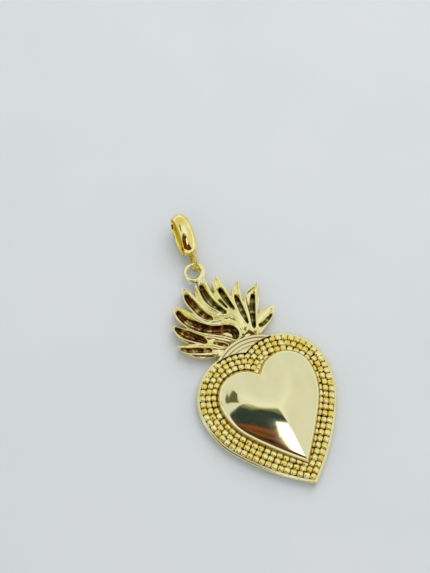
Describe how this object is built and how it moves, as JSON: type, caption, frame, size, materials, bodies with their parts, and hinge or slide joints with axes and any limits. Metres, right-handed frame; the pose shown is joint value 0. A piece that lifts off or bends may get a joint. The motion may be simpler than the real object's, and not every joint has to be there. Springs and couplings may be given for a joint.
{
  "type": "pendant",
  "caption": "Cast brass heart pendant with a beaded border, a puffed polished heart, a crown of flames and a loose bail for a chain.",
  "frame": {"origin": "on the flat back, at the middle of the heart's widest line", "axes": "+Z out of the front, +Y from the heart's tip towards the bail, +X to the right as seen from the front"},
  "size_m": [0.026, 0.0573, 0.0057],
  "materials": {
    "gilt_casting": "gold plated, puffed heart polished, beads and flames cast",
    "gilt_bail": "gold plated and polished"
  },
  "bodies": {
    "pendant": {"heart_casting": "gilt_casting"},
    "bail": {"bail": "gilt_bail"}
  },
  "joints": [
    {"name": "bail_swing", "type": "hinge", "parent": "pendant", "child": "bail", "pos_m": [-0.00036, 0.02796, 0.00145], "axis": [0.9679, -0.0677, -0.2419], "range_deg": [-100, 95]}
  ]
}
